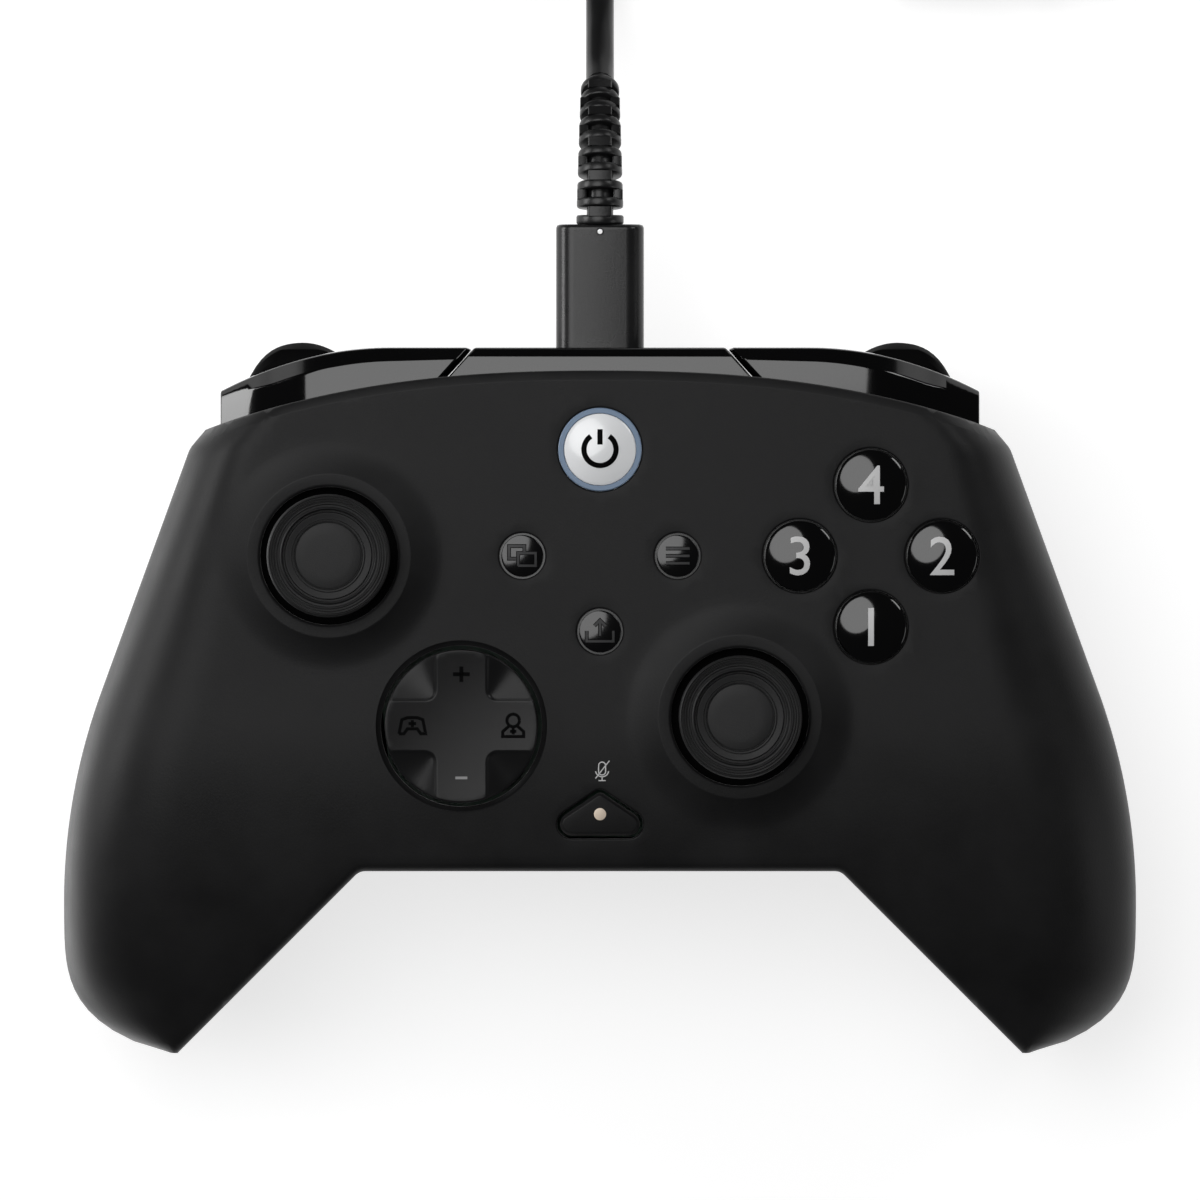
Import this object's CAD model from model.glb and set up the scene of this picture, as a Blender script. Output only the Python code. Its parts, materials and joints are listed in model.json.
"""Looks of a wired gamepad controller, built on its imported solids.

Lengths are in millimetres until a mesh is made.
"""
import json
import math

import bmesh
import bpy
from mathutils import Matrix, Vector
from mathutils.geometry import delaunay_2d_cdt


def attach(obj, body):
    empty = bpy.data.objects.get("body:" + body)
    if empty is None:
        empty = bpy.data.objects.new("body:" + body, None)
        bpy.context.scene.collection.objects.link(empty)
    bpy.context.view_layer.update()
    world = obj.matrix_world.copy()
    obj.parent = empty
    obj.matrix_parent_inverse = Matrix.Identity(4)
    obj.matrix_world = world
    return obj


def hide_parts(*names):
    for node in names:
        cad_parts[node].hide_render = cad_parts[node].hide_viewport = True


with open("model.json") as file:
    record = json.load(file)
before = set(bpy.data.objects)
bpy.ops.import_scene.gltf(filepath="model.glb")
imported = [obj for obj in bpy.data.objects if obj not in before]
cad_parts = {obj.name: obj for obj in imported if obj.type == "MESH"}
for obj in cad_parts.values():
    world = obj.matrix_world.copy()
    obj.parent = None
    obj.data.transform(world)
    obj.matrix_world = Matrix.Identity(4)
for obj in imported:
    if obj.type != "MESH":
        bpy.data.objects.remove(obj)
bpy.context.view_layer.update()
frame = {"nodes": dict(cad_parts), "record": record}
MM = 0.001
HANDS = (("left", -1), ("right", 1))

# Housing, as the solids have it
FACE_Z = 44.0
WALL = 2.2
TOP_Y = 46.8
TOP_FALL = 8.4
CORNER_Y = TOP_Y - TOP_FALL
SHOULDER_X = 56.6
BOTTOM_Y = 24.8
TIP_Y = 51.0
GRIP_GAP = 68.8
GRIP_DROP = 12.0
LID_DEPTH = 13.0
HALF_W = 77.0
WIDE_Y = 30.0
SIDE_R = 90.0
SIDE_LEAN = math.radians(20)
CORNER_RUN = 0.86
BEND_Y = 4.0
LEAN_Y = SIDE_R * math.sin(SIDE_LEAN) - WIDE_Y
LEAN_X = HALF_W - SIDE_R + SIDE_R * math.cos(SIDE_LEAN)
TIP_END = GRIP_GAP / 2 + TIP_Y - BOTTOM_Y + 1.5
GAP_CORNER_R = 2.0
GAP_CORNER = (GRIP_GAP / 2 - GAP_CORNER_R * math.tan(math.pi / 8), -BOTTOM_Y - GAP_CORNER_R)
FAR_LEAN = 0.97
ROLL_FAR = 9.0
ROLL_NEAR = 15.0
ROLL_SHARE = 0.75
REAR_SIDE_ROLL = 18.0
REAR_NEAR_ROLL = 10.0
REAR_EDGE_R = 1.2
HOLE_EDGE = 0.3
CEILING = FACE_Z - WALL
BOARD_TOP = FACE_Z - 16.5

# Places on the face
LEFT_STICK = (-38.7, 20.3)
RIGHT_STICK = (20.0, -2.7)
DPAD_AT = (-19.8, -4.0)
FACE_GROUP = (38.7, 20.3)
FACE_PITCH = 10.15
GUIDE_AT = (0.0, 35.5)
VIEW_AT = (-11.1, 20.3)
MENU_AT = (11.1, 20.3)
SHARE_AT = (0.0, 9.5)
MUTE_AT = (0.0, -16.6)
MIC_AT = (0.3, -10.4)

# Buttons, sticks and pad
FACE_BUTTON_R = 5.0
SMALL_BUTTON_R = 3.0
GUIDE_R = 5.3
RING_R = 5.95
STICK_HOLE_R = 9.85
COLLAR_R = 11.7
COLLAR_H = 1.2
COLLAR_FOOT = 16.3
PIVOT_Z = FACE_Z - 9
CAP_R = 8.8
CAP_LOW = PIVOT_Z + 15.5
CAP_TOP = CAP_LOW + 3.6
DPAD_R = 10.95
DPAD_ARM = 3.5
DPAD_RISE = 1.6
DPAD_CORNER = 1.7
MUTE_W = 11.4
MUTE_H = 6.1
FACE_GAP = 0.25
SMALL_GAP = 0.28
RING_GAP = 0.04
DPAD_GAP = 1.0
MUTE_GAP = 0.45

# Shoulders
BUMPER_Y = 50.2
BUMPER_END = 54.4
BUMPER_TOP = 40.0
BUMPER_LOW = 28.5
TUCK = 4.5
STRIP_ROOM = 0.6
STRIP_BEND = (38.5, 43.5)
STRIP_SLOPE = 0.405
STRIP_TURN = (48.3, 50.3)
STRIP_TURN_SLOPE = 0.24
STRIP_SWEEP = 6.2
STRIP_EDGE = 0.3
BAND_W = 1.2
BAND_GROWTH = 0.025
BAND_FADE = 0.7
BAND_LEAN = 0.78
BEND_X = 30.0
BRIDGE_X = 17.9
SEAM_GAP = 1.2
SEAM_NOSE = 0.75
USB_Z = BOARD_TOP + 1.65
BRIDGE_LOW = USB_Z - 15.5
TRIGGER_X = 43.5
TRIGGER_W = 18.0
TRIGGER_Y = 51.0
TRIGGER_PEAK = 42.7
TRIGGER_PIVOT = (38.0, 24.0)
TRIGGER_REACH = 13.0
WELL_X = (31.9, 55.8)
WELL_Y = 30.8
SCREWS = ((24, 33), (36, -15), (63, -41))
SCREW_HEAD_R = 2.8
JACK_R = 3.5
JACK_Z = BOARD_TOP - 4.8

# Cable
CORD_R = 2.0
PLUG_W = 12.6
PLUG_T = 6.4
PLUG_CORNER = 2.6
PLUG_START = 48.3
RELIEF_Y = 67.9
RELIEF_R = 26.0
RELIEF_TURN = math.radians(52)
RIB_PITCH = 2.35
RIB_COUNT = 10
RIB_W = 1.35
RIB_R = 3.4
RIB_TAPER = 0.07
COIL_LAYERS = 4
COIL_TURNS = 4
COIL_CLIMB = 0.5
COIL_POINTS = 48
COIL_R = 16.0
COIL_STEP = 5.1
COIL_AT = (-36.4, 147.0)
COIL_Z = 2.8
COIL_START = (0, 141, COIL_Z)
LEAD_POINTS = [(95, 12.4), (99, 8.9), (104, 5.9), (110, 3.7), (117, 2.4), (124, 2), (130, 2.1), (136, 2.6)]
TAIL_POINTS = [(-24, 17.3), (-12, 15), (-2, 12), (8, 8.2), (17, 5), (25, 3.4), (32, 3.8)]
TAIL_END = (42, 4.2)
TIE_T = 0.6
TIE_W = 8.0

# Camera: the picture is 171.43 mm wide at the face, 7 pixels to the millimetre
PICTURE_W = 1200 / 7
PICTURE_Y = 14.0
CAMERA_RISE = 3000.0
SENSOR_W = 36.0


# Shape of the housing
def ramp(v, start, end):
    """From 0 at start to 1 at end, with soft ends."""
    c = min(1.0, max(0.0, (v - start) / (end - start)))
    return c * c * (3 - 2 * c)


def eased(v, start, full):
    """A climb of slope 1 that sets in between start and full."""
    ease = max(0.0, min(v, full) - start)
    return ease**2 / (2 * (full - start)) + max(0.0, v - full)


def top_edge(x):
    return TOP_Y - TOP_FALL * (abs(x) / SHOULDER_X) ** 2.4


def seam_x(y):
    return GRIP_GAP / 2 + max(0.0, -BOTTOM_Y - y)


def side_x(y):
    if y < -WIDE_Y:
        bulge = max(0.0, 1 - ((-WIDE_Y - y) / (TIP_Y - WIDE_Y)) ** 3.8)
        return TIP_END + (HALF_W - TIP_END) * bulge ** (1 / 1.3)
    if y < LEAN_Y:
        return HALF_W - SIDE_R + math.sqrt(SIDE_R**2 - (y + WIDE_Y) ** 2)
    corner = SHOULDER_X + (CORNER_Y - y) * CORNER_RUN
    return min(LEAN_X - (y - LEAN_Y) * math.tan(SIDE_LEAN), corner)


def face_drop(y):
    return GRIP_DROP * (max(0.0, -BEND_Y - y) / (TIP_Y - BEND_Y)) ** 2


def part_z(y):
    return FACE_Z - LID_DEPTH - face_drop(y)


def roll(y):
    return min(ROLL_FAR + (ROLL_NEAR - ROLL_FAR) * ramp(y, 40, -5), ROLL_SHARE * (side_x(y) - seam_x(y)))


def corner_dist(dx, dy):
    """Distance in from a level edge that turns down at 45 degrees, from its corner."""
    if dx < 0:
        return dy
    return math.hypot(dx, dy) if dx < dy else (dx + dy) / math.sqrt(2)


def near_dist(x, y):
    return corner_dist(abs(x) - GRIP_GAP / 2, y + BOTTOM_Y)


def round_in(d, r):
    return 0.0 if d <= 0 else 1.0 if d >= r else math.sqrt(1 - (1 - d / r) ** 2)


def rear_low(x, y):
    hump = 14 * ramp(y, 2, -25) + 9 * ramp(y, 32, 46)
    grip = 15 * ramp(y, -15, 30) + 5 * ramp(y, -38, -51) - 0.6
    t = ramp(abs(x), 20, 40)
    return hump * (1 - t) + grip * t


def rear_z(x, y):
    z = part_z(y)
    e = round_in(near_dist(x, y), REAR_NEAR_ROLL) * round_in(side_x(y) - abs(x), REAR_SIDE_ROLL)
    return max(0.0, z - (z - rear_low(x, y)) * max(0.02, e))


def collar(x, y):
    rise = 0.0
    for at in (LEFT_STICK, RIGHT_STICK):
        r = math.hypot(x - at[0], y - at[1])
        fall = max(0.0, r - COLLAR_R) / (COLLAR_FOOT - COLLAR_R)
        rise = max(rise, COLLAR_H * max(0.0, 1 - fall) ** 1.5)
    return rise


def fillet(d, r):
    return 0.0 if d >= r else r - math.sqrt(max(0.0, r * r - (r - max(0.0, d)) ** 2))


def face_height(x, y):
    return FACE_Z - face_drop(y) + collar(x, y)


def end_roll(x):
    """Drop of the shoulder strip's top towards the outer end: a straight fall and a steeper end."""
    return STRIP_SLOPE * eased(x, *STRIP_BEND) + STRIP_TURN_SLOPE * eased(x, *STRIP_TURN)


# Mesh helpers
WELD = 0.004


def circle(at, r, count):
    turns = [2 * math.pi * i / count for i in range(count)]
    return [(at[0] + r * math.cos(t), at[1] + r * math.sin(t)) for t in turns]


def piece(name, verts, faces, material, body="housing", replaces=(), slot=None, angle=38, weld=False):
    mesh = bpy.data.meshes.new(name)
    mesh.from_pydata([tuple(c * MM for c in v) for v in verts], [], faces)
    mesh.validate()
    bm = bmesh.new()
    bm.from_mesh(mesh)
    if weld:
        bmesh.ops.remove_doubles(bm, verts=bm.verts, dist=WELD * MM)
    bmesh.ops.recalc_face_normals(bm, faces=bm.faces)
    bm.to_mesh(mesh)
    bm.free()
    mesh.shade_smooth()
    mesh.set_sharp_from_angle(angle=math.radians(angle))
    mesh.materials.append(material)
    obj = bpy.data.objects.new(name, mesh)
    bpy.context.collection.objects.link(obj)
    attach(obj, body)
    if replaces:
        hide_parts(*replaces)
    return obj


def bevel(obj, width):
    mod = obj.modifiers.new("edges", "BEVEL")
    mod.width = width * MM
    mod.segments = 3
    mod.limit_method = "ANGLE"
    mod.angle_limit = math.radians(30)
    mod.harden_normals = True


def lathe(profile, at=(0, 0), count=96):
    """A shape turned about the upright line at a place, from (radius, height) pairs. Radius 0 is a point."""
    verts, faces, rows = [], [], []
    for r, z in profile:
        if r == 0:
            rows.append([len(verts)] * count)
            verts.append((at[0], at[1], z))
        else:
            rows.append(list(range(len(verts), len(verts) + count)))
            verts += [(x, y, z) for x, y in circle(at, r, count)]
    for a, b in zip(rows, rows[1:]):
        for i in range(count):
            j = (i + 1) % count
            ring = [a[i], a[j], b[j], b[i]]
            faces.append(list(dict.fromkeys(ring)))
    return verts, faces


def loft(rings, closed=True, caps=True):
    n = len(rings[0])
    verts = [p for r in rings for p in r]
    span = n if closed else n - 1
    faces = [[j * n + i, j * n + (i + 1) % n, (j + 1) * n + (i + 1) % n, (j + 1) * n + i]
             for j in range(len(rings) - 1) for i in range(span)]
    if caps:
        faces += [list(range(n))[::-1], [(len(rings) - 1) * n + i for i in range(n)]]
    return verts, faces


def tube(rings):
    return loft(rings, caps=False)


def ribbon(rings):
    return loft(rings, closed=False, caps=False)


def join(*parts):
    verts, faces = [], []
    for v, f in parts:
        faces += [[i + len(verts) for i in face] for face in f]
        verts += v
    return verts, faces


def inside(p, loop):
    hit = False
    x, y = p
    for (ax, ay), (bx, by) in zip(loop, loop[1:] + loop[:1]):
        if (ay > y) != (by > y) and x < (bx - ax) * (y - ay) / (by - ay) + ax:
            hit = not hit
    return hit


def triangulate(outline, holes=(), guides=(), step=2.0, clear=0.6):
    """Triangles over a plan with holes, all closed loops. Guides are points that the mesh passes."""
    points, edges = [], []
    for loop in (outline, *holes):
        first = len(points)
        points += loop
        edges += [(first + i, first + (i + 1) % len(loop)) for i in range(len(loop))]
    points += guides
    cells = {}
    for x, y in points:
        cells.setdefault((round(x / step), round(y / step)), []).append((x, y))
    xs, ys = [p[0] for p in outline], [p[1] for p in outline]
    for i in range(int(min(xs) / step) - 1, int(max(xs) / step) + 2):
        for j in range(int(min(ys) / step) - 1, int(max(ys) / step) + 2):
            p = (i * step, j * step)
            near = [q for a in (-1, 0, 1) for b in (-1, 0, 1) for q in cells.get((i + a, j + b), ())]
            if all(math.dist(p, q) > clear * step for q in near):
                points.append(p)
    made = delaunay_2d_cdt([Vector(p) for p in points], edges, [], 0, 1e-5)
    verts = [(v.x, v.y) for v in made[0]]
    boxes = [[pick(p[k] for p in h) for k in (0, 1) for pick in (min, max)] for h in holes]
    faces = []
    for face in made[2]:
        mid = tuple(sum(verts[i][k] for i in face) / len(face) for k in (0, 1))
        shut = any(b[0] < mid[0] < b[1] and b[2] < mid[1] < b[3] and inside(mid, h)
                   for b, h in zip(boxes, holes))
        if not shut and inside(mid, outline):
            faces.append(list(face))
    used = sorted({i for face in faces for i in face})
    place = {old: new for new, old in enumerate(used)}
    return [verts[i] for i in used], [[place[i] for i in face] for face in faces]


def rim(loop, profile, height):
    """The rounded edge of an opening: loop(grow) gives its plan, and profile its (grow, drop) steps down."""
    return tube([[(x, y, height(x, y) - drop) for x, y in loop(grow)] for grow, drop in profile])


def round_edge(r, depth, steps=5):
    turns = [math.pi / 2 * i / steps for i in range(steps + 1)]
    return [(r * (1 - math.sin(a)), r * (1 - math.cos(a))) for a in turns] + [(0, depth)]


def stroke(points, width):
    """A flat line of a given width through plan points, as quads with mitred corners."""
    count = len(points)
    left, right = [], []
    for i, p in enumerate(points):
        before, after = points[max(0, i - 1)], points[min(count - 1, i + 1)]
        a = Vector((p[0] - before[0], p[1] - before[1]))
        b = Vector((after[0] - p[0], after[1] - p[1]))
        a = a.normalized() if a.length else b.normalized()
        b = b.normalized() if b.length else a
        way = (a + b).normalized() if (a + b).length > 1e-6 else a
        side = Vector((-way.y, way.x)) * width / 2 / max(0.5, way.dot(a))
        left.append((p[0] + side.x, p[1] + side.y))
        right.append((p[0] - side.x, p[1] - side.y))
    return left + right, [[i, i + 1, count + i + 1, count + i] for i in range(count - 1)]


def arc(at, r, start, end, count=16):
    turns = [math.radians(start + (end - start) * i / count) for i in range(count + 1)]
    return [(at[0] + r * math.cos(t), at[1] + r * math.sin(t)) for t in turns]


def fine(points, step=0.25):
    """The same line with more points, so that it can follow a curved surface."""
    out = []
    for a, b in zip(points, points[1:]):
        n = max(1, int(math.dist(a, b) / step))
        out += [(a[0] + (b[0] - a[0]) * k / n, a[1] + (b[1] - a[1]) * k / n) for k in range(n)]
    return out + [points[-1]]


def mark(name, lines, at, height, material, body, slot, width, lift=0.03):
    """A printed sign: strokes round a place, laid on the surface that height gives."""
    verts, faces = join(*[stroke(fine(line), width) for line in lines])
    placed = [(x + at[0], y + at[1], height(x + at[0], y + at[1]) + lift) for x, y in verts]
    piece(name, placed, faces, material, body, slot=slot)


# Materials
def set_inputs(node, values):
    for name, value in values.items():
        node.inputs[name].default_value = value


def material(name, color, roughness, specular=0.5, metallic=0.0, coat=0.0, grain=0.0, grain_size=0.25,
             mottle=0.15, mottle_size=9.0, spread=0.08, sheen=0.0):
    """Plastic, rubber or metal with a fine grain, a slow change of colour and an uneven polish."""
    mat = bpy.data.materials.new(name)
    mat.use_nodes = True
    nodes, links = mat.node_tree.nodes, mat.node_tree.links
    shader = nodes["Principled BSDF"]
    set_inputs(shader, {"Metallic": metallic, "Specular IOR Level": specular, "Coat Weight": coat,
                        "Coat Roughness": 0.05, "Sheen Weight": sheen, "Sheen Roughness": 0.3})
    place = nodes.new("ShaderNodeTexCoord")

    def noise(size, detail):
        tex = nodes.new("ShaderNodeTexNoise")
        set_inputs(tex, {"Scale": 1 / (size * MM), "Detail": detail})
        links.new(place.outputs["Object"], tex.inputs["Vector"])
        return tex.outputs["Fac"]

    slow = noise(mottle_size, 3)
    low, high = 0.3, 0.7
    tint = nodes.new("ShaderNodeValToRGB")
    for stop, place_at, change in zip(tint.color_ramp.elements, (low, high), (-mottle, mottle)):
        stop.position = place_at
        stop.color = (*[min(1, c * (1 + change)) for c in color], 1)
    links.new(slow, tint.inputs["Fac"])
    links.new(tint.outputs["Color"], shader.inputs["Base Color"])
    polish = nodes.new("ShaderNodeMapRange")
    set_inputs(polish, {"From Min": low, "From Max": high, "To Min": roughness * (1 - spread),
                        "To Max": roughness * (1 + spread)})
    links.new(slow, polish.inputs["Value"])
    links.new(polish.outputs["Result"], shader.inputs["Roughness"])
    if grain:
        bump = nodes.new("ShaderNodeBump")
        set_inputs(bump, {"Strength": grain, "Distance": 0.05 * MM})
        links.new(noise(grain_size, 4), bump.inputs["Height"])
        links.new(bump.outputs["Normal"], shader.inputs["Normal"])
    return mat


MATTE = (0.0085, 0.0085, 0.0088)
SHELL = material("moulded_shell", MATTE, 0.45, 0.15, grain=0.35, grain_size=0.3, sheen=0.14)
REAR = material("moulded_rear", MATTE, 0.52, 0.2, grain=0.8, grain_size=0.55)
GLOSS = material("gloss_black", (0.001, 0.001, 0.0011), 0.09, 0.5, grain=0.02, grain_size=2.5)
BUTTON = material("button_gloss", (0.0012, 0.0012, 0.0013), 0.08, 0.5)
SMALL = material("small_gloss", (0.0018, 0.0018, 0.002), 0.12, 0.45)
DPAD = material("dpad_satin", (0.0072, 0.0072, 0.0075), 0.3, 0.15, grain=0.1)
TRIGGER = material("trigger_black", (0.0016, 0.0016, 0.0017), 0.6, 0.03, grain=0.2)
RUBBER = material("stick_rubber", MATTE, 0.5, 0.24, grain=0.4, grain_size=0.2)
PALE = material("guide_pale", (0.72, 0.73, 0.74), 0.22, 0.5, coat=0.5, mottle=0.03)
RING = material("light_ring", (0.15, 0.21, 0.30), 0.4, 0.3, mottle=0.05)
LENS = material("mute_lens", (0.68, 0.57, 0.46), 0.4, 0.4, mottle=0.04)
INK = material("pale_ink", (0.5, 0.5, 0.5), 0.45, 0.4, mottle=0.04)
WHITE = material("white_lens", (0.9, 0.9, 0.9), 0.3, 0.5, mottle=0.02)
GREY_INK = material("grey_ink", (0.2, 0.2, 0.2), 0.45, 0.4, mottle=0.04)
DIM_INK = material("dim_ink", (0.026, 0.026, 0.027), 0.5, 0.3, mottle=0.05)
DARK_INK = material("dark_cut", (0.0012, 0.0012, 0.0013), 0.6, 0.03, mottle=0.05)
INNER_BLACK = material("inner_black", (0.005, 0.005, 0.0052), 0.6, 0.2, grain=0.3)
INNER_PALE = material("inner_pale", (0.08, 0.08, 0.076), 0.5, 0.3, grain=0.1)
BOARD = material("board_green", (0.012, 0.075, 0.035), 0.35, mottle=0.3, mottle_size=2.0)
METAL = {"metallic": 1.0, "mottle_size": 3, "spread": 0.25}
STEEL = material("plated_steel", (0.55, 0.55, 0.57), 0.28, mottle=0.06, **METAL)
DARK_STEEL = material("black_steel", (0.07, 0.07, 0.072), 0.36, mottle=0.1, **METAL)
SILICONE = material("silicone", (0.26, 0.26, 0.27), 0.6, grain=0.1)
CABLE = material("cable_black", (0.006, 0.006, 0.0063), 0.36, 0.35, grain=0.25, grain_size=0.4)
PLUG = material("plug_black", (0.009, 0.009, 0.0093), 0.28, 0.33, grain=0.2, grain_size=0.3)
TIE = material("tie_weave", (0.012, 0.012, 0.0125), 0.9, 0.2, grain=1.0, grain_size=0.5, mottle=0.4,
               mottle_size=0.6)
SLOT_FINISH = {
    "shell_matte": SHELL, "rear_matte": REAR, "gloss_black": GLOSS, "button_gloss": BUTTON,
    "dpad_satin": DPAD, "stick_rubber": RUBBER, "guide_pale": PALE, "light_ring": RING, "mute_lens": LENS,
    "inner_black": INNER_BLACK, "inner_pale": INNER_PALE, "board_green": BOARD, "steel": STEEL,
    "silicone": SILICONE, "cable_black": CABLE, "plug_black": PLUG, "tie_black": TIE,
}
for part in frame["record"]["subparts"]:
    node = frame["nodes"][part["node"]]
    node.data.materials.clear()
    node.data.materials.append(SLOT_FINISH[part["material_slot"]])
for name in ("shell_screws", "left_trigger_pin", "right_trigger_pin"):
    frame["nodes"][name].data.materials[0] = DARK_STEEL


# Camera
def make_camera():
    data = bpy.data.cameras.new("camera")
    data.sensor_width = SENSOR_W
    data.lens = SENSOR_W * CAMERA_RISE / PICTURE_W
    data.clip_end = 50
    cam = bpy.data.objects.new("camera", data)
    cam.location = (0, PICTURE_Y * MM, (FACE_Z + CAMERA_RISE) * MM)
    bpy.context.collection.objects.link(cam)
    bpy.context.scene.camera = cam


make_camera()


# Cable: plug, strain relief, lead, coil, tail and far plug
def relief_point(run):
    """Point on the strain relief's middle line, its way on and its upper side."""
    s, c = math.sin(run / RELIEF_R), math.cos(run / RELIEF_R)
    at = Vector((0, RELIEF_Y + RELIEF_R * s, USB_Z - RELIEF_R * (1 - c)))
    return at, Vector((0, c, -s)), Vector((0, s, c))


def coil_point(t):
    layer_turns = COIL_TURNS + COIL_CLIMB
    last = COIL_LAYERS - 1
    layer = min(last, int(t / layer_turns))
    s = t - layer * layer_turns
    run = s if layer == last else min(s, COIL_TURNS)
    climb = 0 if layer == last else ramp(s, COIL_TURNS, layer_turns)
    r = COIL_R + COIL_STEP * (COIL_TURNS - run if layer % 2 == 0 else run)
    turn = 2 * math.pi * t
    z = COIL_Z + COIL_STEP * (layer + climb)
    return COIL_AT[0] + r * math.cos(turn), COIL_AT[1] + r * math.sin(turn), z


def cord_route():
    end, way, _ = relief_point(RELIEF_R * RELIEF_TURN)
    turns = COIL_LAYERS * COIL_TURNS + (COIL_LAYERS - 1) * COIL_CLIMB + 0.25
    coil = [coil_point(i / COIL_POINTS) for i in range(int(turns * COIL_POINTS) + 1)]
    x, tail_y, z = coil[-1]
    tail = [(x, tail_y, z) for x, z in [(x + 2 * CORD_R, z), *TAIL_POINTS]]
    tail += [(TAIL_END[0] - back, tail_y, TAIL_END[1]) for back in (2 * CORD_R, 0)]
    lead = [tuple(end), tuple(end + way * 2 * CORD_R), *[(0, y, z) for y, z in LEAD_POINTS], COIL_START]
    return smoothed(lead) + coil[1:-1] + smoothed([coil[-1], *tail]), tail_y


def smoothed(points, steps=5):
    """Catmull-Rom line through the points."""
    out = []
    ends = [points[0], *points, points[-1]]
    for a, b, c, d in zip(ends, ends[1:], ends[2:], ends[3:]):
        for k in range(steps):
            t = k / steps
            out.append(tuple(0.5 * (2 * q + (r - p) * t + (2 * p - 5 * q + 4 * r - s) * t * t
                                    + (3 * q - p - 3 * r + s) * t**3) for p, q, r, s in zip(a, b, c, d)))
    return out + [tuple(points[-1])]


def make_cord():
    route, tail_y = cord_route()
    data = bpy.data.curves.new("cord", "CURVE")
    data.dimensions = "3D"
    data.bevel_depth = CORD_R * MM
    data.bevel_resolution = 4
    data.use_fill_caps = True
    line = data.splines.new("POLY")
    line.points.add(len(route) - 1)
    for point, p in zip(line.points, route):
        point.co = (p[0] * MM, p[1] * MM, p[2] * MM, 1)
    data.materials.append(CABLE)
    cord = bpy.data.objects.new("cord", data)
    bpy.context.collection.objects.link(cord)
    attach(cord, "housing")
    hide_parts("cord_lead", "cord_coil", "cord_tail")
    length = sum(math.dist(a, b) for a, b in zip(route, route[1:]))
    return cord, route, length, tail_y


def rounded_box(half_w, half_t, r, count=6):
    """Plan of a rectangle with round corners, about the origin."""
    out = []
    for cx, cy, start in ((1, 1, 0), (-1, 1, 90), (-1, -1, 180), (1, -1, 270)):
        out += arc((cx * (half_w - r), cy * (half_t - r)), r, start, start + 90, count)
    return out


def make_usb_c():
    half_w, half_t = PLUG_W / 2, PLUG_T / 2
    stations = [(PLUG_START, 0.5), (PLUG_START + 0.2, 0.2), (PLUG_START + 0.5, 0), (PLUG_START + 0.8, 0),
                (RELIEF_Y - 0.8, 0), (RELIEF_Y - 0.5, 0), (RELIEF_Y - 0.15, 0.15), (RELIEF_Y, 0.5)]
    rings = []
    for y, cut in stations:
        loop = rounded_box(half_w - cut, half_t - cut, PLUG_CORNER - cut / 2, 10)
        rings.append([(x, y, USB_Z + z) for x, z in loop])
    grip = piece("usb_c_plug_grip", *loft(rings), PLUG, replaces=["usb_c_plug"], slot="plug_black", angle=50)
    tongue = [[(x, y, USB_Z + z) for x, z in rounded_box(4.1, 1.2, 1.19, 8)]
              for y in (40.3, PLUG_START + 0.2)]
    shell = piece("usb_c_plug_shell", *loft(tongue), STEEL, slot="steel", angle=50)
    at = (0, RELIEF_Y - 1.05)
    top = USB_Z + half_t
    light_r, ring_r = 0.36, 0.52
    frame_steps = [(ring_r, top - 0.1), (ring_r, top + 0.03), (light_r, top + 0.03)]
    ring = piece("plug_light_ring", *lathe(frame_steps, at, 32), DARK_INK, slot="plug_black")
    lens = [(light_r, top - 0.1), (light_r, top + 0.04), (0, top + 0.06)]
    light = piece("plug_light", *lathe(lens, at, 32), WHITE, slot="guide_pale")
    return [grip, shell, ring, light]


def make_relief():
    """Core with rings held off it by pairs of short bridges that alternate round it."""
    rings = []
    steps = 40
    for i in range(steps + 1):
        p, _, up = relief_point(RELIEF_R * RELIEF_TURN * i / steps)
        rings.append([tuple(p + Vector((x, 0, 0)) + up * z) for x, z in circle((0, 0), CORD_R - 0.1, 24)])
    parts = [loft(rings)]
    for i in range(RIB_COUNT):
        p, way, up = relief_point(i * RIB_PITCH)
        r = RIB_R - RIB_TAPER * i
        shape = [(0, CORD_R - 0.3), (0, r - 0.25), (0.1, r - 0.08), (0.3, r)]
        shape += [(RIB_W - run, size) for run, size in shape[::-1]]
        rings = [[tuple(p + way * run + Vector((x, 0, 0)) + up * z) for x, z in circle((0, 0), size, 40)]
                 for run, size in shape]
        parts.append(tube(rings))
        if i == RIB_COUNT - 1:
            break
        for side in (-1, 1):
            across, along = (Vector((1, 0, 0)), up) if i % 2 else (up, Vector((1, 0, 0)))
            block = [[tuple(p + way * run + across * (side * (r - 0.75) + a) + along * b)
                      for a, b in rounded_box(0.7, 1.7, 0.3, 3)] for run in (1.2, RIB_PITCH + 0.2)]
            parts.append(loft(block))
    return piece("strain_relief_ribs", *join(*parts), CABLE, replaces=["strain_relief"], slot="cable_black")


def make_usb_a(tail_y):
    x, z = TAIL_END
    stations = [(0, 0.9), (0.3, 0.4), (1, 0), (14, 0), (15, 0.35), (19, 0.35), (20, 0), (23.4, 0),
                (23.9, 0.4)]
    rings = [[(x + run, tail_y + a, z + b) for a, b in rounded_box(7.5 - cut, 4 - cut, 2.4)]
             for run, cut in stations]
    grip = piece("usb_a_plug_grip", *loft(rings), PLUG, replaces=["usb_a_grip"], slot="plug_black", angle=50)
    tongue = [[(x + run, tail_y + a, z + 0.75 + b) for a, b in rounded_box(5.4, 0.9, 0.2, 2)]
              for run in (24.5, 35.2)]
    bar = piece("usb_a_tongue", *loft(tongue), INNER_BLACK, slot="inner_black")
    return [grip, bar]


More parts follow.
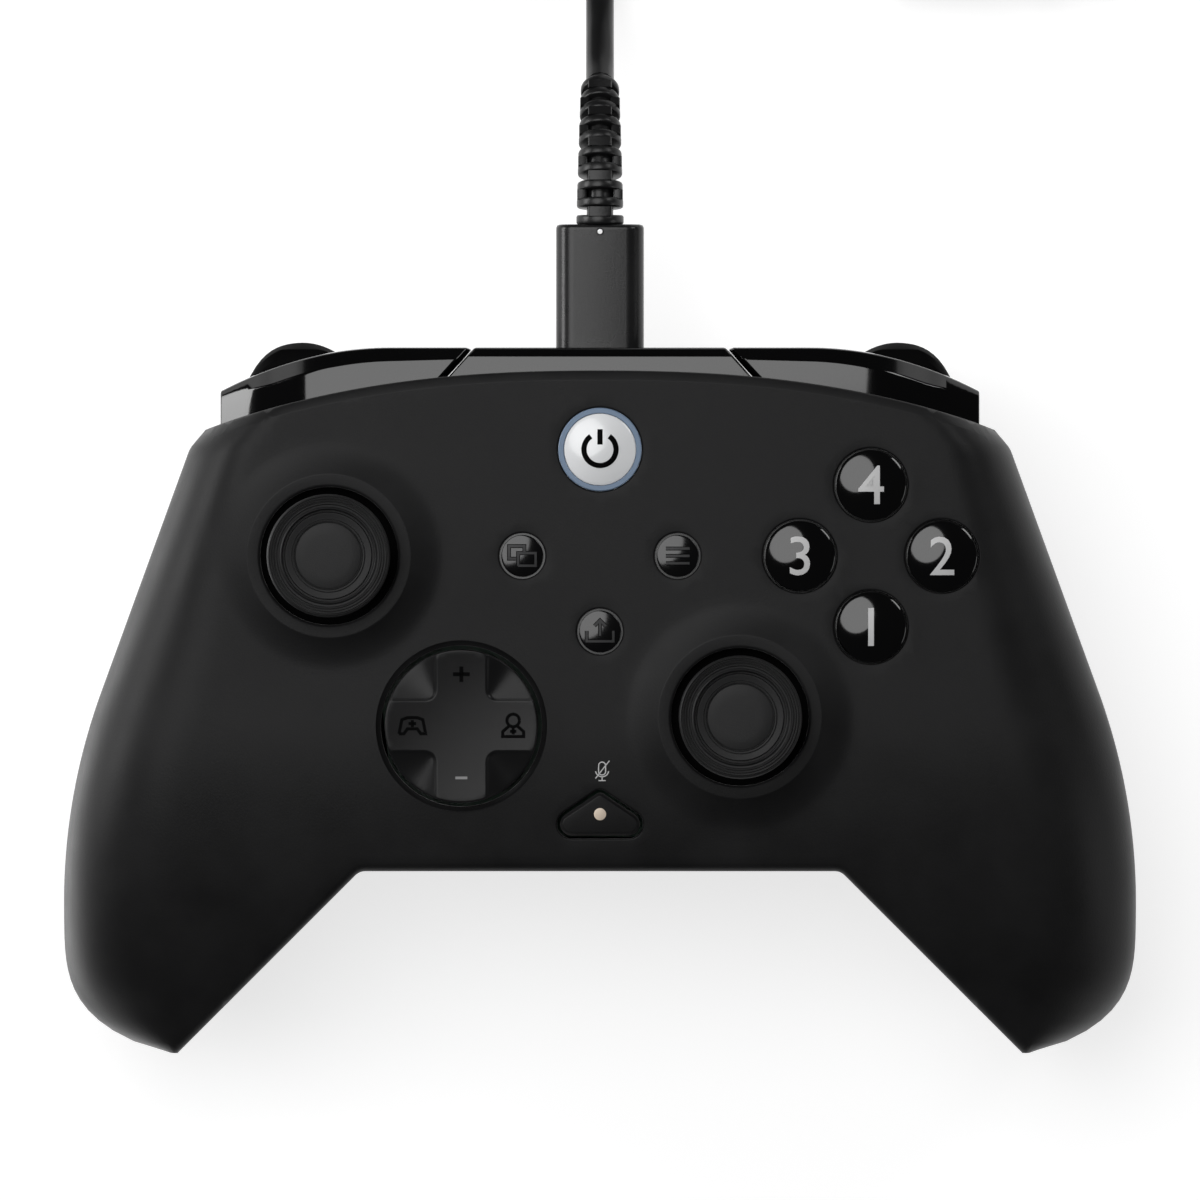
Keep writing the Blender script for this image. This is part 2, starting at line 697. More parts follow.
def make_tie():
    tie_in = math.sqrt((COIL_R - CORD_R) ** 2 - (TIE_W / 2) ** 2) - TIE_T - 0.3
    tie_out = COIL_R + (COIL_TURNS + 0.25) * COIL_STEP + CORD_R + TIE_T + 0.3
    high = COIL_Z + (COIL_LAYERS - 1) * COIL_STEP + CORD_R + TIE_T + 0.2
    mid_y = COIL_AT[1] + (tie_in + tie_out) / 2
    half_y, half_z = (tie_out - tie_in) / 2, high / 2
    outer = rounded_box(half_y, half_z, 1.6)
    inner = rounded_box(half_y - TIE_T, half_z - TIE_T, 1.1)
    left, right = COIL_AT[0] - TIE_W / 2, COIL_AT[0] + TIE_W / 2
    soft = 0.2
    middle = [((a + c) / 2, (b + d) / 2) for (a, b), (c, d) in zip(outer, inner)]
    edges = [(left + soft, outer), (right - soft, outer), (right, middle), (right - soft, inner),
             (left + soft, inner), (left, middle)]
    rings = [[(x, mid_y + a, half_z + b) for a, b in loop] for x, loop in edges]
    return piece("cord_tie_strap", *tube(rings + rings[:1]), TIE, replaces=["cord_tie"], slot="tie_black",
                 weld=True)


cord, cord_path, cord_length, tail_y = make_cord()
usb_c = make_usb_c()
relief = make_relief()
usb_a = make_usb_a(tail_y)
tie = make_tie()


# Front shell: one skin over an unrolled plan, where the rolled sides are laid out flat
ROLL_RUN = 18.0
EDGE_R = 1.2
CHAMFER_RUN = 1.35
CHAMFER_FALL = 0.44
PLAN_STEP = 1.5
FAR_COUNT = 80
SIDE_COUNT = 60


def unrolled(x, y):
    flat, a = side_x(y) - roll(y), roll(y)
    if abs(x) <= flat:
        return x, y
    turn = math.asin(min(1.0, (abs(x) - flat) / a)) / (math.pi / 2)
    return math.copysign(flat + ROLL_RUN * turn, x), y


def rolled(s, y):
    flat, a = side_x(y) - roll(y), roll(y)
    if abs(s) <= flat:
        x, z = s, face_height(s, y)
    else:
        turn = min(1.0, (abs(s) - flat) / ROLL_RUN) * math.pi / 2
        x = math.copysign(flat + a * math.sin(turn), s)
        z = part_z(y) + LID_DEPTH * math.cos(turn) + collar(x, y)
    far = (top_edge(x) - y) * FAR_LEAN
    edge = fillet(far, 0.35) + CHAMFER_FALL * max(0.0, 1 - far / CHAMFER_RUN)
    return x, y, z - edge - fillet(near_gap(x, y), EDGE_R)


def near_line(d=0.0):
    """Right half of the near edge, moved in by d: from the middle round the corner and down to the tip."""
    cx, cy = GAP_CORNER
    r = GAP_CORNER_R + d
    line = [(PLAN_STEP * i, d - BOTTOM_Y) for i in range(int(cx / PLAN_STEP))]
    turns = [math.pi / 2 - math.pi / 4 * i / 6 for i in range(7)]
    line += [(cx + r * math.cos(t), cy + r * math.sin(t)) for t in turns]
    x, y = line[-1]
    run = PLAN_STEP / math.sqrt(2)
    while y - run > 0.2 - TIP_Y:
        x, y = x + run, y - run
        line.append((x, y))
    return line


def near_gap(x, y):
    """Distance in from the near edge with its rounded corners."""
    return corner_dist(abs(x) - GAP_CORNER[0], y - GAP_CORNER[1]) - GAP_CORNER_R


def tip_line(count=6):
    """Blunt end of the right grip, from its side to the near edge."""
    start, end = side_x(-TIP_Y), seam_x(-TIP_Y)
    return [(start + (end - start) * i / count, -TIP_Y) for i in range(count + 1)]


def side_line():
    """Right side, from below the shoulder's corner down to the tip."""
    downs = [CORNER_Y - (CORNER_Y + TIP_Y) * i / SIDE_COUNT for i in range(1, SIDE_COUNT + 1)]
    return [(side_x(y), y) for y in downs]


def evenly(half, count):
    return [half * (i / count * 2 - 1) for i in range(count + 1)]


def mirrored_line(half):
    return [(-x, y) for x, y in half[:0:-1]] + half


def near_edge():
    """Whole near edge with the blunt ends of both grips."""
    return mirrored_line(near_line() + tip_line()[::-1])


def closed_plan(far, shoulder=()):
    """Closed plan: far edge left to right, right shoulder, side, tip, near edge, and the left half up."""
    right = [*shoulder, *side_line(), *tip_line()[1:], *near_line()[::-1]]
    return far + right + [(-x, y) for x, y in right[::-1]][1:]


def seam_wall(edge):
    """Upright wall from an edge to the seam between the shells."""
    return ribbon([edge, [(x, y, part_z(y)) for x, y, _ in edge]])


def mute_loop(grow):
    tip, corner = 0.9, 1.6
    bottom = corner - MUTE_H / 2
    half = MUTE_W / 2 - corner
    top = MUTE_H / 2 - tip
    lean = math.degrees(math.atan2(top - bottom, half)) - math.degrees(
        math.asin((corner - tip) / math.hypot(half, top - bottom)))
    x, y = MUTE_AT
    loop = arc((x + half, y + bottom), corner + grow, -90, 90 - lean, 10)
    loop += arc((x, y + top), tip + grow, 90 - lean, 90 + lean, 10)
    loop += arc((x - half, y + bottom), corner + grow, 90 + lean, 270, 10)
    return fine(loop + loop[:1], 0.8)[:-1]


def round_loop(at, r, count=72):
    return lambda grow: circle(at, r + grow, count)


FACE_PLACES = dict(zip(("east", "north", "west", "south"), circle(FACE_GROUP, FACE_PITCH, 4)))


def make_front_shell():
    lip = round_edge(HOLE_EDGE, WALL)
    wide = round_edge(0.45, WALL + 2)
    chamfer = [(0.3, 0), (0.22, 0.12), (0.2, 0.16), (-0.42, 0.4), (-0.44, 0.6), (-0.44, WALL + 1)]
    openings = [(round_loop(at, FACE_BUTTON_R + FACE_GAP), lip) for at in FACE_PLACES.values()]
    openings += [(round_loop(at, SMALL_BUTTON_R + SMALL_GAP), lip) for at in (VIEW_AT, MENU_AT, SHARE_AT)]
    openings.append((round_loop(GUIDE_AT, RING_R + RING_GAP), lip))
    openings.append((round_loop(DPAD_AT, DPAD_R + DPAD_GAP, 144), chamfer))
    openings += [(round_loop(at, STICK_HOLE_R, 96), wide) for at in (LEFT_STICK, RIGHT_STICK)]
    openings.append((lambda grow: mute_loop(grow + MUTE_GAP), lip))
    holes = [loop(profile[0][0]) for loop, profile in openings]
    guides = []
    for at in (LEFT_STICK, RIGHT_STICK):
        for r in (COLLAR_R - 0.12, COLLAR_R, COLLAR_R + 0.12):
            guides += circle(at, r, 120)
        for k in range(1, 8):
            guides += circle(at, COLLAR_R + (COLLAR_FOOT + 0.2 - COLLAR_R) * k / 7, 96)
    xs = evenly(SHOULDER_X, FAR_COUNT)
    for d in (0.03, 0.12, 0.35, CHAMFER_RUN - 0.12, CHAMFER_RUN, CHAMFER_RUN + 0.12):
        guides += [unrolled(x, top_edge(x) - d / FAR_LEAN) for x in xs[1:-1]]
    for k in range(1, 6):
        d = EDGE_R * (1 - math.cos(math.pi / 2 * k / 5))
        guides += [unrolled(x, y) for x, y in mirrored_line(near_line(d)) if side_x(y) - abs(x) > 0.3]
    outline = [unrolled(x, y) for x, y in closed_plan([(x, top_edge(x)) for x in xs])]
    flat, faces = triangulate(outline, holes, guides, step=PLAN_STEP, clear=0.5)
    skin = ([rolled(s, y) for s, y in flat], faces)
    rims = [rim(loop, profile, face_height) for loop, profile in openings]
    far = [rolled(*unrolled(x, top_edge(x))) for x in xs]
    lip_low = [(x, y, max(part_z(y), min(z, BUMPER_TOP - end_roll(abs(x)) + STRIP_ROOM))) for x, y, z in far]
    tuck = [(x, y - TUCK, z) for x, y, z in lip_low]
    near = seam_wall([rolled(*unrolled(x, y)) for x, y in near_edge()])
    verts, faces = join(skin, *rims, ribbon([far, lip_low, tuck]), near)
    piece("front_shell_skin", verts, faces, SHELL, replaces=["front_shell"], slot="shell_matte", weld=True,
          angle=50)


make_front_shell()


# Rear shell: one skin over the plan, with wells for the triggers and a tongue inside the seam at each side
TONGUE_IN = 0.7
TONGUE_RISE = 1.5


def rear_edge(x, y):
    far = (top_edge(x) - y) * FAR_LEAN
    well = math.hypot(max(0, WELL_X[0] - abs(x)), max(0, WELL_Y - y)) if abs(x) < WELL_X[1] else 9
    return min(far, well)


def rear_point(x, y):
    return x, y, min(part_z(y), rear_z(x, y) + fillet(rear_edge(x, y), REAR_EDGE_R))


def jack_loop(r, count=48):
    """Plan of a circle round the headset hole, laid on the near wall."""
    loop = []
    for x, z in circle((0, JACK_Z), r, count):
        low, high = -BOTTOM_Y, 0.0
        for _ in range(40):
            y = (low + high) / 2
            low, high = (y, high) if rear_point(x, y)[2] > z else (low, y)
        loop.append((x, low))
    return loop


def jack_rim():
    """Rounded edge of the headset hole, and its wall in towards the jack."""
    wide = JACK_R + HOLE_EDGE
    edge = [rear_point(x, y) for x, y in jack_loop(wide)]
    rings = [edge]
    for r, depth in ((JACK_R + 0.15, 0.05), (JACK_R + 0.04, 0.18), (JACK_R, 0.36), (JACK_R, 3.0)):
        rings.append([(x * r / wide, y + depth, JACK_Z + (z - JACK_Z) * r / wide) for x, y, z in edge])
    return tube(rings)


def make_rear_shell():
    far = [(x, top_edge(x)) for x in evenly(WELL_X[0], 60)]
    well = [(WELL_X[0], y) for y in (42, 40, 38, 36, 34, 32)]
    well += [(WELL_X[0] + (WELL_X[1] - WELL_X[0]) * i / 12, WELL_Y) for i in range(13)]
    well += [(WELL_X[1], y) for y in (32, 34, 36, 38)]
    well += [(WELL_X[1], top_edge(WELL_X[1])), (SHOULDER_X, CORNER_Y)]
    side = side_line()
    guides = []
    for k in range(1, 10):
        bend = 1 - math.cos(math.pi / 2 * k / 9)
        near = mirrored_line(near_line(REAR_NEAR_ROLL * bend))
        guides += [(x, y) for x, y in near if side_x(y) - abs(x) > REAR_SIDE_ROLL * bend / 2]
        for _, y in side[1:-1]:
            x = side_x(y) - REAR_SIDE_ROLL * bend
            if near_dist(x, y) > 0.6 and not (x < WELL_X[1] + 0.5 and y > WELL_Y - 0.5):
                guides += [(x, y), (-x, y)]
    screws = [(hand * x, y) for x, y in SCREWS for hand in (-1, 1)]
    holes = [circle(at, SCREW_HEAD_R + HOLE_EDGE, 32) for at in screws] + [jack_loop(JACK_R + HOLE_EDGE)]
    flat, faces = triangulate(closed_plan(far, well), holes, guides, clear=0.5)
    skin = ([rear_point(x, y) for x, y in flat], faces)
    steps = [(HOLE_EDGE, 0), (0.15, -0.05), (0.03, -0.2), (0, -0.4), (0, -4)]
    rims = [rim(round_loop(at, SCREW_HEAD_R, 32), steps, lambda x, y: rear_point(x, y)[2]) for at in screws]
    low = [rear_point(x, y) for x, y in [(-x, y) for x, y in well[::-1]] + far[1:-1] + well]
    walls = ribbon([low, [(x, y, max(z, BUMPER_LOW - 0.8)) for x, y, z in low]])
    skirt = seam_wall([rear_point(x, y) for x, y in near_edge()])
    tongues = []
    for hand in (-1, 1):
        edge = [rear_point(hand * x, y) for x, y in [(SHOULDER_X, CORNER_Y)] + side]
        foot = [(x - hand * TONGUE_IN, y, z) for x, y, z in edge]
        tongues.append(ribbon([edge, foot, [(x, y, part_z(y) + TONGUE_RISE) for x, y, z in foot]]))
    verts, faces = join(skin, walls, skirt, *tongues, jack_rim(), *rims)
    piece("rear_shell_skin", verts, faces, REAR, replaces=["rear_shell"], slot="rear_matte", weld=True,
          angle=50)


make_rear_shell()


# Shoulder strip: bridge and bumpers
def strip_y(x):
    return BUMPER_Y - STRIP_SWEEP * (max(0.0, x - BEND_X) / (BUMPER_END - BEND_X)) ** 2


def strip_ring(x, low):
    """Section of the strip at x: a nearly flat top, a leaning band along its far edge, and the far wall."""
    inner, lip_y = top_edge(x) - TUCK, top_edge(x) + STRIP_EDGE
    y, top = strip_y(x), BUMPER_TOP - end_roll(x)
    band = (BAND_W + BAND_GROWTH * x) * (1 - BAND_FADE * ramp(x, 46, 56))
    return [(inner, top), (lip_y - 1.6, top), (lip_y, top), (y - band, top - STRIP_EDGE),
            (y - 0.1, top - STRIP_EDGE - BAND_LEAN * band), (y, max(top - 3.5, low + 1.8)), (y, low + 1.6),
            (y - 1.6, low), (inner, low)]


def slant(x, y):
    return max(0.0, 1 - max(0.0, x - BRIDGE_X) / 11) * (BUMPER_Y - y)


def make_bumper(name, side):
    start = BRIDGE_X + SEAM_GAP
    ends = [start + i * 1.2 for i in range(11)]
    ends += [start + 12 + i * (BUMPER_END - start - 12) / 24 for i in range(1, 25)]
    rings = [[(side * (x + slant(x, y)), y, z) for y, z in strip_ring(x, BUMPER_LOW)] for x in ends]
    nose = [(side * (start - SEAM_NOSE + slant(start, y)), y - (STRIP_EDGE if y > 48 else 0),
             min(z, BUMPER_TOP - 1.3)) for y, z in strip_ring(start, BUMPER_LOW)]
    body = name + "_bumper"
    cap = piece(body + "_cap", *loft([nose] + rings), GLOSS, body, [body], "gloss_black", angle=30)
    bevel(cap, STRIP_EDGE)


def make_bridge():
    ring = strip_ring(0, BRIDGE_LOW)
    rings = [[(i / 20 * (BRIDGE_X + 0.89 * (BUMPER_Y - y)), y, z) for y, z in ring] for i in range(-20, 21)]
    cover = piece("bridge_cover_cap", *loft(rings), GLOSS, replaces=["bridge_cover"], slot="gloss_black",
                  angle=30)
    bevel(cover, STRIP_EDGE)


for name, side in HANDS:
    make_bumper(name, side)
make_bridge()


# Triggers
def trigger_nose(x):
    """Far edge of the lever in plan: a dome that falls off faster towards the outer end."""
    off = x - TRIGGER_PEAK
    return TRIGGER_Y - (0.062 * off**2 if off < 0 else 0.04 * off**2 + 0.00075 * off**4)


def make_trigger(name, side):
    profile = [(-4, 3), (0, 3.6), (10, 3.4), (12, 2.4), (TRIGGER_REACH, 0.4), (TRIGGER_REACH, -2), (12.4, -5),
               (11.2, -9), (10.9, -13), (11.6, -16.6), (12.2, -18.6), (11.6, -20), (10, -20.2), (8.4, -17),
               (7.2, -12), (5, -7), (0, -4), (-4, -3)]
    y0, z0 = TRIGGER_PIVOT
    rings = []
    for off in evenly(TRIGGER_W / 2, 24):
        x = TRIGGER_X + off
        limit = trigger_nose(x) - y0
        rings.append([(side * x, y0 + min(y, limit - min(TRIGGER_REACH - y, 4) * 0.6), z0 + z)
                      for y, z in profile])
    body = name + "_trigger"
    bevel(piece(body + "_lever", *loft(rings), TRIGGER, body, [body], "gloss_black", angle=30), 0.5)


for name, side in HANDS:
    make_trigger(name, side)


# Thumbsticks
def make_stick_cap(name, at):
    grooves = [(r + off, drop) for r in (8.35, 7.98, 7.62)
               for off, drop in ((0.13, 0.08), (0.08, 0.6), (-0.08, 0.6), (-0.13, 0.06))]
    lines = [(r + off, drop) for r in (5.2, 4.87)
             for off, drop in ((0.08, 1.08), (0.05, 1.5), (-0.05, 1.5), (-0.08, 1.06))]
    foot = [(1.6, PIVOT_Z + 7.9), (4.4, PIVOT_Z + 7.9), (4.0, PIVOT_Z + 8.6), (4.0, CAP_LOW - 1.6),
            (4.5, CAP_LOW - 0.9), (5.4, CAP_LOW - 0.4), (7.9, CAP_LOW), (8.5, CAP_LOW + 0.25),
            (CAP_R, CAP_LOW + 0.8)]
    crown = [(CAP_R, 0.9), (8.74, 0.4), (8.6, 0.15), *grooves, (7.4, 0.06), (7.25, 0.25), (7.0, 0.27),
             (6.86, 0.05), (6.74, 0), (6.64, 0.06), (6.52, 1.3), (6.26, 1.3), (6.14, 0.92), (5.95, 0.92),
             (5.4, 1.08), *lines, (4.72, 1.08)]
    disc = [(4.72, 1.1), (4.68, 0.98), (4.5, 0.93), (3, 0.88), (1.5, 0.86), (0, 0.85)]
    rubber, pad = [[(r, CAP_TOP - drop) for r, drop in steps] for steps in (crown, disc)]
    body = name + "_stick"
    piece(body + "_cap_rim", *lathe(foot + rubber, at, 128), RUBBER, body, [body + "_cap"], "stick_rubber",
          angle=42)
    piece(body + "_pad", *lathe(pad, at), RUBBER, body, slot="stick_rubber")


def make_dust_ring(name, at):
    """Dark ring under the hole, so that nothing inside shows past the cap."""
    wide, narrow = 11.2, 7.4
    profile = [(wide, CEILING), (wide, CEILING - 0.5), (narrow, CEILING - 0.9), (narrow, CEILING - 0.6),
               (wide, CEILING)]
    piece(name + "_dust_ring", *lathe(profile, at), DARK_INK, slot="inner_black")


for name, at in (("left", LEFT_STICK), ("right", RIGHT_STICK)):
    make_stick_cap(name, at)
    make_dust_ring(name, at)


# Buttons, each with a flange that closes the gap around it
BUTTON_FLANGE = 0.9
DIGIT_SIZE = 7.9
DIGIT_STEP = 0.5


def button(name, at, r, low, rise, finish, body, slot="button_gloss"):
    """A domed button with a flange. Returns its height at a place."""
    edge, under = FACE_Z + low, CEILING - 0.25

    def crown(d):
        return edge + (rise - low) * max(0.0, 1 - (d / r) ** 2)

    steps = [0.975 * (1 - k / 14) for k in range(15)]
    profile = [(r + BUTTON_FLANGE, under - 1.3), (r + BUTTON_FLANGE, under), (r, under)]
    profile += [(r, edge - 0.06), (r - 0.01, edge - 0.025), (r - 0.035, edge - 0.005)]
    profile += [(r * s, crown(r * s)) for s in steps[:-1]] + [(0, crown(0))]
    piece(name, *lathe(profile, at), finish, body, [body], slot, angle=60)
    return lambda x, y: crown(math.hypot(x - at[0], y - at[1]))


def numeral(name, digit, at, height, body):
    """A plain digit laid on the button's crown."""
    data = bpy.data.curves.new(name, "FONT")
    data.body = digit
    data.size = DIGIT_SIZE
    data.align_x = "CENTER"
    data.align_y = "CENTER"
    data.offset = 0.02
    data.resolution_u = 4
    text = bpy.data.objects.new(name + "_text", data)
    mesh = text.to_mesh()
    outline = [[v.co.x, v.co.y] for v in mesh.vertices]
    mid = [(max(c) + min(c)) / 2 for c in zip(*outline)]
    bm = bmesh.new()
    bm.from_mesh(mesh)
    bmesh.ops.triangulate(bm, faces=bm.faces)
    for _ in range(3):
        long = [e for e in bm.edges if e.calc_length() > DIGIT_STEP]
        bmesh.ops.subdivide_edges(bm, edges=long, cuts=1)
        bmesh.ops.triangulate(bm, faces=bm.faces)
    bmesh.ops.dissolve_degenerate(bm, dist=0.01, edges=bm.edges)
    bmesh.ops.triangulate(bm, faces=bm.faces)
    verts = [(v.co.x - mid[0] + at[0], v.co.y - mid[1] + at[1]) for v in bm.verts]
    bm.verts.index_update()
    faces = [[v.index for v in f.verts] for f in bm.faces]
    bm.free()
    text.to_mesh_clear()
    bpy.data.objects.remove(text)
    bpy.data.curves.remove(data)
    placed = [(x, y, height(x, y) + 0.03) for x, y in verts]
    piece(name, placed, faces, INK, body, slot="button_gloss")


for digit, name in (("1", "south"), ("2", "east"), ("3", "west"), ("4", "north")):
    at = FACE_PLACES[name]
    body = "button_" + name
    crown = button("face_" + name + "_cap", at, FACE_BUTTON_R, 0.9, 1.9, BUTTON, body)
    numeral("face_" + name + "_digit", digit, at, crown, body)

SMALL_SIGNS = {
    "view": (VIEW_AT, [[(0.3, 0.2), (0.3, 1.4), (-1.9, 1.4), (-1.9, -0.4), (-0.9, -0.4)],
                       [(-0.6, -1.4), (1.9, -1.4), (1.9, 0.4), (-0.6, 0.4), (-0.6, -1.4)]]),
    "menu": (MENU_AT, [[(-1.7, h), (1.7, h)] for h in (1.05, 0.0, -1.05)]),
    "share": (SHARE_AT, [[(-1.9, 0.1), (-1.9, -1.4), (1.9, -1.4), (1.9, 0.1)], [(0, -0.6), (0, 1.5)],
                         [(-0.8, 0.8), (0, 1.6), (0.8, 0.8)]]),
}
for name, (at, lines) in SMALL_SIGNS.items():
    body = name + "_button"
    crown = button(name + "_cap", at, SMALL_BUTTON_R, 0.3, 0.6, SMALL, body)
    mark(name + "_sign_edge", lines, at, crown, DARK_INK, body, "button_gloss", 0.56, 0.02)
    mark(name + "_sign", lines, at, crown, DIM_INK, body, "button_gloss", 0.34, 0.04)

crown = button("guide_dome", GUIDE_AT, GUIDE_R - 0.18, 0.1, 1.1, PALE, "guide_button", "guide_pale")
power = [arc((0, 0), 2.3, 125, 415, 40), [(0, 0.7), (0, 2.9)]]
mark("guide_power_sign", power, GUIDE_AT, crown, DARK_INK, "guide_button", "guide_pale", 0.75)
ring_steps = [(GUIDE_R - 0.12, -1.5), (GUIDE_R - 0.12, 0.08), (GUIDE_R - 0.04, 0.16), (RING_R - 0.12, 0.16),
              (RING_R, 0.04), (RING_R, -1.5)]
ring_profile = [(r, FACE_Z + z) for r, z in ring_steps]
piece("guide_ring", *lathe(ring_profile, GUIDE_AT), RING, replaces=["guide_light_ring"], slot="light_ring")


# Mute button: a leaning triangle with a round light, and the sign printed above it
MUTE_TOP = FACE_Z - face_drop(MUTE_AT[1]) + 0.5
MUTE_SLOPE = (face_drop(MUTE_AT[1] - MUTE_H / 2) - face_drop(MUTE_AT[1] + MUTE_H / 2)) / MUTE_H


def mute_height(y):
    return MUTE_TOP + MUTE_SLOPE * (y - MUTE_AT[1])


def make_mute():
    steps = [(0, 3.0), (0, 1.0), (-0.35, 0.1), (-0.42, 0.02), (-0.55, 0.0)]
    rings = [[(x, y, mute_height(y) - drop) for x, y in mute_loop(grow)] for grow, drop in steps]
    verts, faces = tube(rings)
    last = (len(rings) - 1) * len(rings[0])
    faces.append([last + i for i in range(len(rings[0]))])
    piece("mute_cap", verts, faces, SHELL, "mute_button", ["mute_button"], "button_gloss", angle=60)
    lens = [(0.87, -0.3), (0.87, 0.02), (0.75, 0.07), (0, 0.1)]
    verts, faces = lathe(lens, MUTE_AT, 40)
    placed = [(x, y, z + mute_height(y)) for x, y, z in verts]
    piece("mute_dot", placed, faces, LENS, "mute_button", ["mute_light"], "mute_lens")
    capsule = arc((0, 0.75), 0.5, 0, 180, 10) + arc((0, -0.1), 0.5, 180, 360, 10)
    lines = [capsule + capsule[:1], arc((0, 0.1), 0.95, 190, 350, 14), [(0, -0.85), (0, -1.4)],
             [(-0.5, -1.4), (0.5, -1.4)], [(-0.95, -1.1), (1.05, 1.45)]]
    mark("mute_sign", lines, MIC_AT, face_height, INK, "housing", "shell_matte", 0.16)


make_mute()


# Direction pad
def dpad_height(x, y):
    """A cross with rounded inner corners, and four scoops between its arms."""
    r = math.hypot(x, y)
    edge = fillet(DPAD_R - r, 0.25) + 0.0042 * (DPAD_R**2 - r * r)
    a, b = abs(x) - DPAD_ARM, abs(y) - DPAD_ARM
    d = min(a, b)
    if d > 0 and max(a, b) < DPAD_CORNER:
        d = DPAD_CORNER - math.hypot(DPAD_CORNER - a, DPAD_CORNER - b)
    if d <= 0:
        return FACE_Z + DPAD_RISE - edge
    valley = 1 / math.hypot(1 / (0.46 * max(a, 0.01)), 1 / (0.3 * max(b, 0.01)))
    scoop = 0.05 * ramp(d, 0, 0.12) + valley * ramp(d, 0, 0.4)
    return FACE_Z + DPAD_RISE - scoop - edge


def make_dpad():
    outline = circle((0, 0), DPAD_R, 144)
    guides = []
    for k in (0.02, 0.08, 0.16, 0.28):
        guides += circle((0, 0), DPAD_R - k, 144)
    bend = DPAD_ARM + DPAD_CORNER
    runs = [bend + (DPAD_R - bend) * i / 36 for i in range(36)]
    for turn in range(4):
        for off in (-0.15, 0, 0.12, 0.25, 0.4, 0.55):
            line = [(DPAD_ARM + off, run) for run in runs]
            line += arc((bend, bend), DPAD_CORNER - off, 180, 270, 14)
            line += [(run, DPAD_ARM + off) for run in runs]
            for x, y in line:
                if math.hypot(x, y) < DPAD_R - 0.6:
                    guides.append([(x, y), (-y, x), (-x, -y), (y, -x)][turn])
    flat, faces = triangulate(outline, (), guides, step=0.6, clear=0.4)
    x0, y0 = DPAD_AT
    skin = ([(x + x0, y + y0, dpad_height(x, y)) for x, y in flat], faces)
    top = [(x + x0, y + y0, dpad_height(x, y)) for x, y in outline]
    lean = 1 - 0.16 / DPAD_R
    waist = [(x0 + (x - x0) * lean, y0 + (y - y0) * lean, z - 0.75) for x, y, z in top]
    verts, faces = join(skin, tube([top, waist, [(x, y, CEILING - 3) for x, y, z in waist]]))
    piece("dpad_disc", verts, faces, DPAD, "dpad", ["dpad"], "dpad_satin", weld=True, angle=50)

    def height(x, y):
        return dpad_height(x - x0, y - y0)

    signs = {
        "plus": ((0, 7.4), [[(-1.2, 0), (1.2, 0)], [(0, -1.1), (0, 1.1)]], 0.55),
        "minus": ((0, -7.4), [[(-0.85, 0), (0.85, 0)]], 0.38),
        "pad": ((-7.0, 0.0), [[(-1.9, -1.1), (-1.5, 0.9), (-0.7, 1.2), (0.7, 1.2), (1.5, 0.9), (1.9, -1.1),
                               (1.2, -1.1), (0.7, -0.4), (-0.7, -0.4), (-1.2, -1.1), (-1.9, -1.1)],
                              [(-0.55, 0.35), (0.55, 0.35)], [(0, -0.15), (0, 0.85)]], 0.44),
        "person": ((7.4, 0.1), [arc((0, 0.7), 0.9, 0, 360, 20),
                                [(-0.6, -0.1), (-1.5, -0.9), (-1.5, -1.6), (1.5, -1.6), (1.5, -0.9),
                                 (0.6, -0.1)],
                                [(-0.45, -0.85), (0.45, -0.85)], [(0, -1.3), (0, -0.4)]], 0.44),
    }
    for name, (at, lines, width) in signs.items():
        mark("dpad_" + name + "_sign", lines, (x0 + at[0], y0 + at[1]), height,
             GREY_INK if name == "minus" else DARK_INK, "dpad", "dpad_satin", width)


make_dpad()


# Floor, light and background. The floor's reach is in metres
FLOOR_REACH = 6.0
FLOOR_DROP = 0.3
FLOOR_GLOW = 0.75


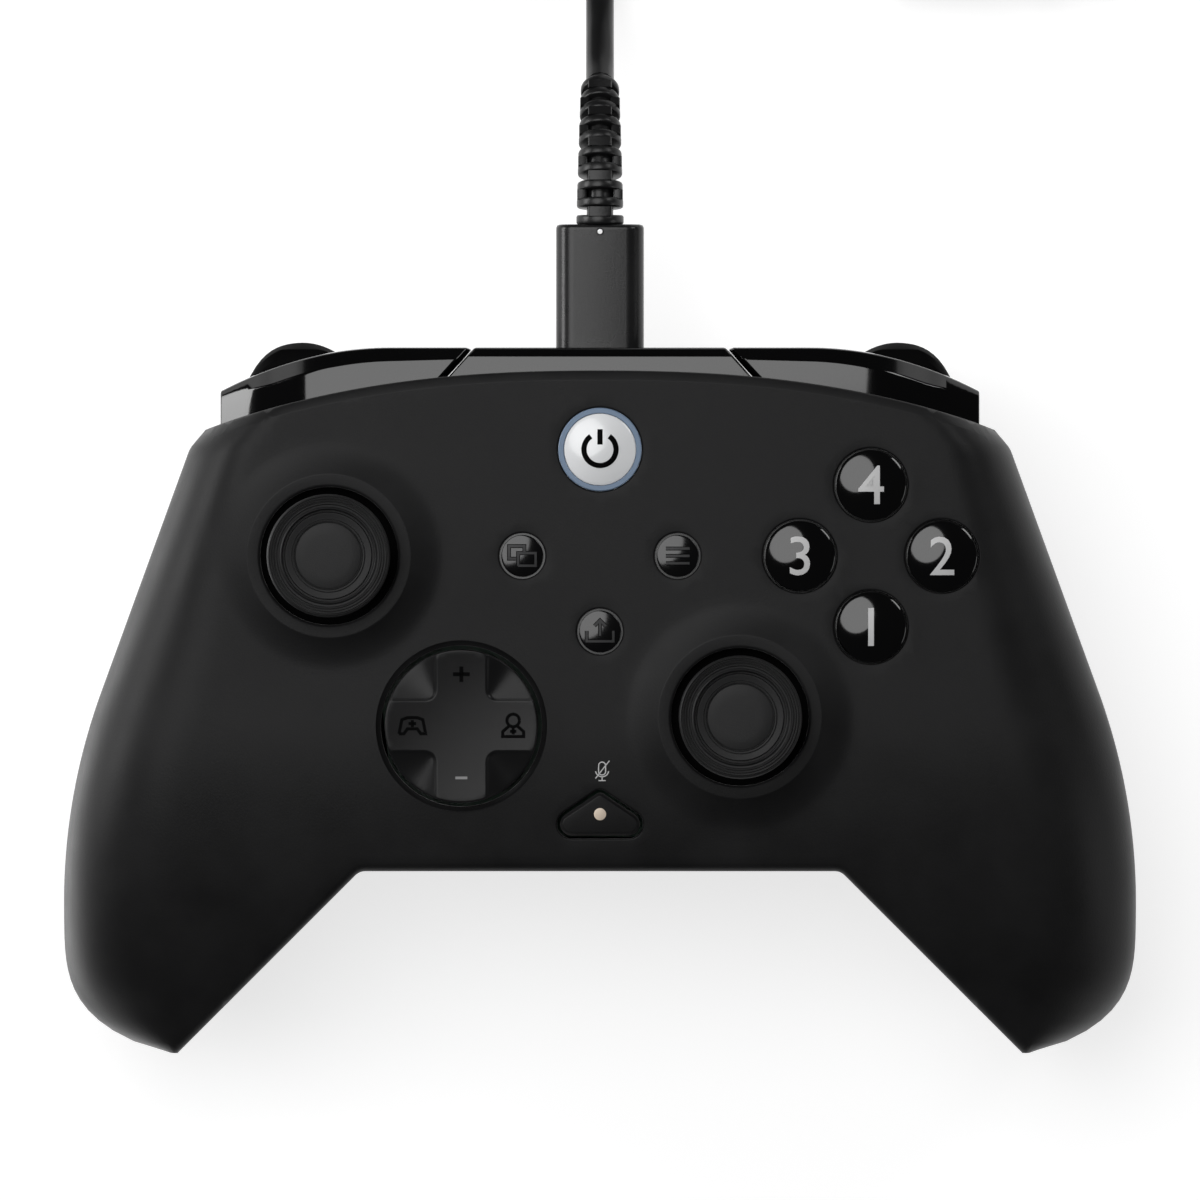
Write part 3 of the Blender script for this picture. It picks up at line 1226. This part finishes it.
def area_light(name, at, aim, size, power, shape="RECTANGLE"):
    data = bpy.data.lights.new(name, "AREA")
    data.shape = shape
    data.size, data.size_y = size[0] * MM, size[1] * MM
    data.energy = power
    obj = bpy.data.objects.new(name, data)
    obj.location = [c * MM for c in at]
    obj.rotation_euler = (Vector(aim) - Vector(at)).to_track_quat("-Z", "Y").to_euler()
    obj.visible_camera = False
    bpy.context.collection.objects.link(obj)


def make_stage():
    mesh = bpy.data.meshes.new("floor")
    corners = [(x * FLOOR_REACH, y * FLOOR_REACH, 0) for x, y in ((-1, -1), (1, -1), (1, 1), (-1, 1))]
    mesh.from_pydata(corners, [], [[0, 1, 2, 3]])
    floor = bpy.data.objects.new("floor", mesh)
    floor.location.z = -FLOOR_DROP * MM
    bpy.context.collection.objects.link(floor)
    mat = bpy.data.materials.new("floor_white")
    mat.use_nodes = True
    nodes, links = mat.node_tree.nodes, mat.node_tree.links
    shader = nodes["Principled BSDF"]
    set_inputs(shader, {"Base Color": (0.42, 0.42, 0.42, 1), "Roughness": 0.9, "Specular IOR Level": 0.0,
                        "Emission Color": (1, 1, 1, 1)})
    path = nodes.new("ShaderNodeLightPath")
    seen = path.outputs["Is Camera Ray"]
    for ray in ("Is Glossy Ray", "Is Transmission Ray"):
        either = nodes.new("ShaderNodeMath")
        either.operation = "MAXIMUM"
        links.new(seen, either.inputs[0])
        links.new(path.outputs[ray], either.inputs[1])
        seen = either.outputs["Value"]
    glow = nodes.new("ShaderNodeMath")
    glow.operation = "MULTIPLY"
    glow.inputs[1].default_value = FLOOR_GLOW
    links.new(seen, glow.inputs[0])
    links.new(glow.outputs["Value"], shader.inputs["Emission Strength"])
    mesh.materials.append(mat)
    world = bpy.data.worlds.new("studio")
    world.use_nodes = True
    set_inputs(world.node_tree.nodes["Background"], {"Color": (0.04, 0.04, 0.041, 1)})
    bpy.context.scene.world = world
    bpy.context.scene.view_settings.view_transform = "Standard"
    middle = (0, 0, FACE_Z)
    area_light("left_rim", (-860, 240, 270), middle, (600, 300), 5)
    area_light("right_rim", (900, -200, 330), middle, (400, 420), 1.2)
    area_light("right_back", (585, 495, 494), middle, (260, 260), 1.3)
    area_light("left_card", (-135, -10, 1), (-135, -10, 100), (80, 120), 0.09)
    area_light("soft_box", (-320, 340, 1044), (-320, 340, 0), (900, 960), 8.4, "ELLIPSE")


make_stage()
